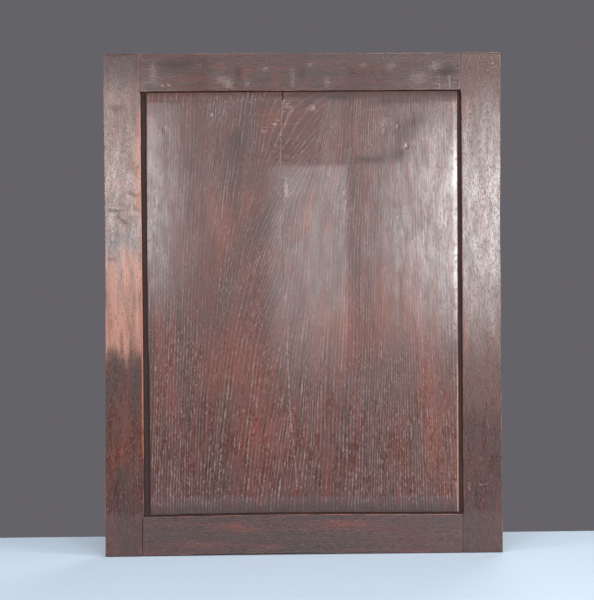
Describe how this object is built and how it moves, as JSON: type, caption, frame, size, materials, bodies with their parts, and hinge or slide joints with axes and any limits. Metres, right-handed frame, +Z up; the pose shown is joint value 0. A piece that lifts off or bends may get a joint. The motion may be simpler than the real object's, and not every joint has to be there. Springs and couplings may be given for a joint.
{
  "type": "framed oak wall panel",
  "caption": "Joined oak wall panel: a plain raised board held loose in a grooved frame of stiles and rails, dark stained and waxed, for fixing flat to a wall.",
  "frame": {"origin": "middle of the top rail's back face, where the panel is held to the wall", "axes": "+X to the right as seen from the face on show, +Y out of the back towards the wall, +Z up"},
  "size_m": [0.6364, 0.028, 0.804],
  "materials": {
    "frame_oak": "dark red-brown stained oak, old wax and shellac, rubbed to orange-brown along its edges",
    "board_oak": "dark red-brown stained oak, waxed, with pale wax in the open grain"
  },
  "bodies": {
    "root": {"left_stile": "frame_oak", "right_stile": "frame_oak", "top_rail": "frame_oak", "bottom_rail": "frame_oak", "board": "board_oak"}
  },
  "joints": []
}
